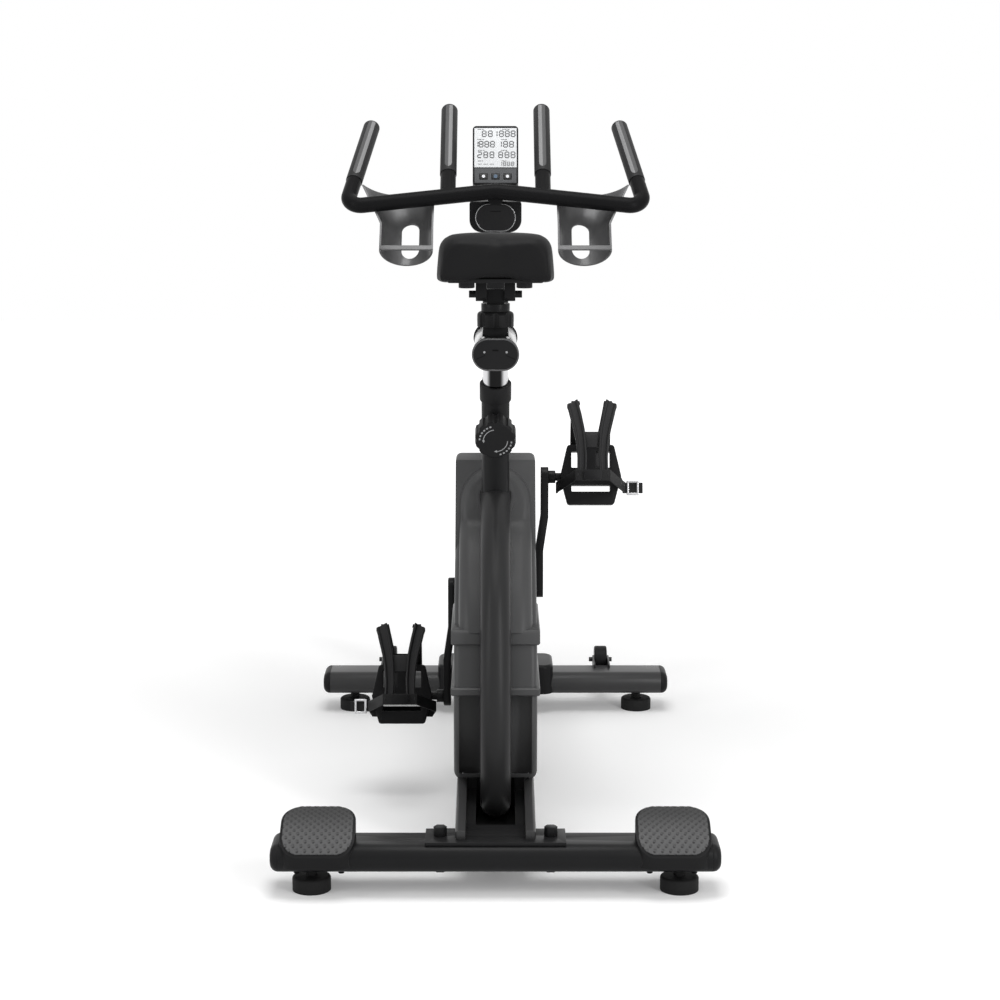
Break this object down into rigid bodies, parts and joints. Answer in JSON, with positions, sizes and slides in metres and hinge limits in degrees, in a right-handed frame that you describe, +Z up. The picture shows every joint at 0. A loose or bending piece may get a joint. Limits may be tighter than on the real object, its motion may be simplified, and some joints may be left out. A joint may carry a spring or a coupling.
{
  "type": "exercise bike",
  "caption": "Upright indoor cycle with a rear drive shroud, caged pedals, sliding saddle and handlebar posts, bottle holders and a small console.",
  "frame": {"origin": "on the floor, under the middle of the bike's box", "axes": "+X to the rider's right, +Y forward, +Z up; the picture looks along +Y from behind"},
  "size_m": [0.6, 1.054, 1.0465],
  "materials": {
    "frame_paint": "satin black paint",
    "shroud_plastic": "satin dark grey moulded plastic",
    "black_plastic": "matt black moulded plastic",
    "rubber_black": "matt black rubber",
    "chrome": "polished chrome",
    "steel": "zinc plated steel",
    "flywheel_alloy": "turned aluminium",
    "saddle_cover": "black synthetic leather over foam",
    "grip_rubber": "soft dark grey grip",
    "screen": "pale liquid crystal display",
    "button_plastic": "dark grey key"
  },
  "bodies": {
    "frame": {"rear_stabilizer": "frame_paint", "front_stabilizer": "frame_paint", "stabilizer_end_caps": "black_plastic", "stretch_pads": "black_plastic", "base_bolts": "frame_paint", "rear_base": "frame_paint", "base_beam": "frame_paint", "arc_tube": "frame_paint", "seat_tube": "frame_paint", "post_bushes": "black_plastic", "main_beam": "frame_paint", "front_mast": "frame_paint", "left_shroud": "shroud_plastic", "right_shroud": "shroud_plastic", "drive_bearings": "steel", "drive_belt": "rubber_black"},
    "crank_set": {"crank_axle": "steel", "crank_pulley": "black_plastic", "left_crank": "frame_paint", "right_crank": "frame_paint", "pedal_spindles": "steel"},
    "flywheel": {"flywheel": "flywheel_alloy", "flywheel_shaft": "steel"},
    "left_pedal": {"left_pedal": "black_plastic", "left_toe_cage": "black_plastic", "left_toe_strap": "rubber_black"},
    "right_pedal": {"right_pedal": "black_plastic", "right_toe_cage": "black_plastic", "right_toe_strap": "rubber_black"},
    "brake_arm": {"brake_arm": "frame_paint"},
    "resistance_knob": {"resistance_knob": "black_plastic"},
    "seat_post": {"seat_post": "chrome", "seat_slider_tube": "chrome", "seat_slider_caps": "black_plastic"},
    "seat_knob": {"seat_knob": "black_plastic"},
    "saddle_carriage": {"saddle_stem": "chrome"},
    "saddle_knob": {"saddle_knob": "black_plastic"},
    "saddle": {"saddle_clamp": "frame_paint", "saddle_base": "black_plastic", "saddle_pad": "saddle_cover"},
    "handlebar_post": {"handlebar_post": "chrome", "slider_housing": "black_plastic"},
    "mast_knob": {"mast_knob": "black_plastic"},
    "slider_knob": {"slider_knob": "black_plastic"},
    "handlebar": {"handlebar_slider": "chrome", "handlebar": "frame_paint", "hand_grips": "grip_rubber", "bottle_holders": "frame_paint", "console_body": "black_plastic", "console_screen": "screen"},
    "left_button": {"left_button": "button_plastic"},
    "middle_button": {"middle_button": "button_plastic"},
    "right_button": {"right_button": "button_plastic"},
    "left_wheel": {"left_wheel": "black_plastic"},
    "right_wheel": {"right_wheel": "black_plastic"},
    "rear_left_foot": {"rear_left_foot": "rubber_black"},
    "rear_right_foot": {"rear_right_foot": "rubber_black"},
    "front_left_foot": {"front_left_foot": "rubber_black"},
    "front_right_foot": {"front_right_foot": "rubber_black"}
  },
  "joints": [
    {"name": "crank_spin", "type": "hinge", "parent": "frame", "child": "crank_set", "pos_m": [0, -0.04, 0.32], "axis": [-1, 0, 0], "continuous": true},
    {"name": "flywheel_spin", "type": "hinge", "parent": "frame", "child": "flywheel", "pos_m": [0, -0.175, 0.248], "axis": [-1, 0, 0], "continuous": true},
    {"name": "left_pedal_spin", "type": "hinge", "parent": "crank_set", "child": "left_pedal", "pos_m": [-0.143, -0.04, 0.15], "axis": [1, 0, 0], "continuous": true},
    {"name": "right_pedal_spin", "type": "hinge", "parent": "crank_set", "child": "right_pedal", "pos_m": [0.143, -0.04, 0.49], "axis": [1, 0, 0], "continuous": true},
    {"name": "brake_swing", "type": "hinge", "parent": "frame", "child": "brake_arm", "pos_m": [0, -0.16367, 0.3775], "axis": [1, 0, 0], "range_deg": [0, 5]},
    {"name": "resistance_turn", "type": "hinge", "parent": "frame", "child": "resistance_knob", "pos_m": [0, 0.11915, 0.57469], "axis": [0, -0.3462, 0.9382], "range_deg": [0, 900]},
    {"name": "seat_height", "type": "slide", "parent": "frame", "child": "seat_post", "axis": [0, -0.3256, 0.9455], "range_m": [0, 0.2]},
    {"name": "seat_knob_turn", "type": "hinge", "parent": "frame", "child": "seat_knob", "pos_m": [0, -0.23091, 0.58198], "axis": [0, -0.9455, -0.3256], "range_deg": [0, 720]},
    {"name": "saddle_fore_aft", "type": "slide", "parent": "seat_post", "child": "saddle_carriage", "axis": [0, 1, 0], "range_m": [-0.045, 0.045]},
    {"name": "saddle_knob_turn", "type": "hinge", "parent": "saddle_carriage", "child": "saddle_knob", "pos_m": [0, -0.236, 0.745], "axis": [0, 0, 1], "range_deg": [0, 720]},
    {"name": "saddle_tilt", "type": "hinge", "parent": "saddle_carriage", "child": "saddle", "pos_m": [0, -0.236, 0.78], "axis": [1, 0, 0], "range_deg": [-10, 10]},
    {"name": "handlebar_height", "type": "slide", "parent": "frame", "child": "handlebar_post", "axis": [0, -0.1866, 0.9824], "range_m": [0, 0.15]},
    {"name": "mast_knob_turn", "type": "hinge", "parent": "frame", "child": "mast_knob", "pos_m": [0, 0.35856, 0.77433], "axis": [0, 0.9824, 0.1866], "range_deg": [0, 720]},
    {"name": "handlebar_fore_aft", "type": "slide", "parent": "handlebar_post", "child": "handlebar", "axis": [0, 1, 0], "range_m": [-0.05, 0.02]},
    {"name": "slider_knob_turn", "type": "hinge", "parent": "handlebar_post", "child": "slider_knob", "pos_m": [0, 0.345, 0.828], "axis": [0, 0, -1], "range_deg": [0, 720]},
    {"name": "left_wheel_spin", "type": "hinge", "parent": "frame", "child": "left_wheel", "pos_m": [-0.187, 0.503, 0.072], "axis": [1, 0, 0], "continuous": true},
    {"name": "right_wheel_spin", "type": "hinge", "parent": "frame", "child": "right_wheel", "pos_m": [0.187, 0.503, 0.072], "axis": [1, 0, 0], "continuous": true},
    {"name": "left_button_press", "type": "slide", "parent": "handlebar", "child": "left_button", "axis": [0, 0.9397, -0.342], "range_m": [0, 0.001], "stiffness_N_per_m": 400, "springref_m": -0.0008},
    {"name": "middle_button_press", "type": "slide", "parent": "handlebar", "child": "middle_button", "axis": [0, 0.9397, -0.342], "range_m": [0, 0.001], "stiffness_N_per_m": 400, "springref_m": -0.0008},
    {"name": "right_button_press", "type": "slide", "parent": "handlebar", "child": "right_button", "axis": [0, 0.9397, -0.342], "range_m": [0, 0.001], "stiffness_N_per_m": 400, "springref_m": -0.0008},
    {"name": "rear_left_foot_turn", "type": "hinge", "parent": "frame", "child": "rear_left_foot", "pos_m": [-0.247, -0.48, 0.02], "axis": [0, 0, 1], "continuous": true},
    {"name": "rear_right_foot_turn", "type": "hinge", "parent": "frame", "child": "rear_right_foot", "pos_m": [0.247, -0.48, 0.02], "axis": [0, 0, 1], "continuous": true},
    {"name": "front_left_foot_turn", "type": "hinge", "parent": "frame", "child": "front_left_foot", "pos_m": [-0.247, 0.44, 0.02], "axis": [0, 0, 1], "continuous": true},
    {"name": "front_right_foot_turn", "type": "hinge", "parent": "frame", "child": "front_right_foot", "pos_m": [0.247, 0.44, 0.02], "axis": [0, 0, 1], "continuous": true}
  ],
  "couplings": [
    {"joint": "flywheel_spin", "follows": "crank_spin", "ratio": 4},
    {"joint": "brake_swing", "follows": "resistance_turn", "ratio": 0.0055556}
  ]
}
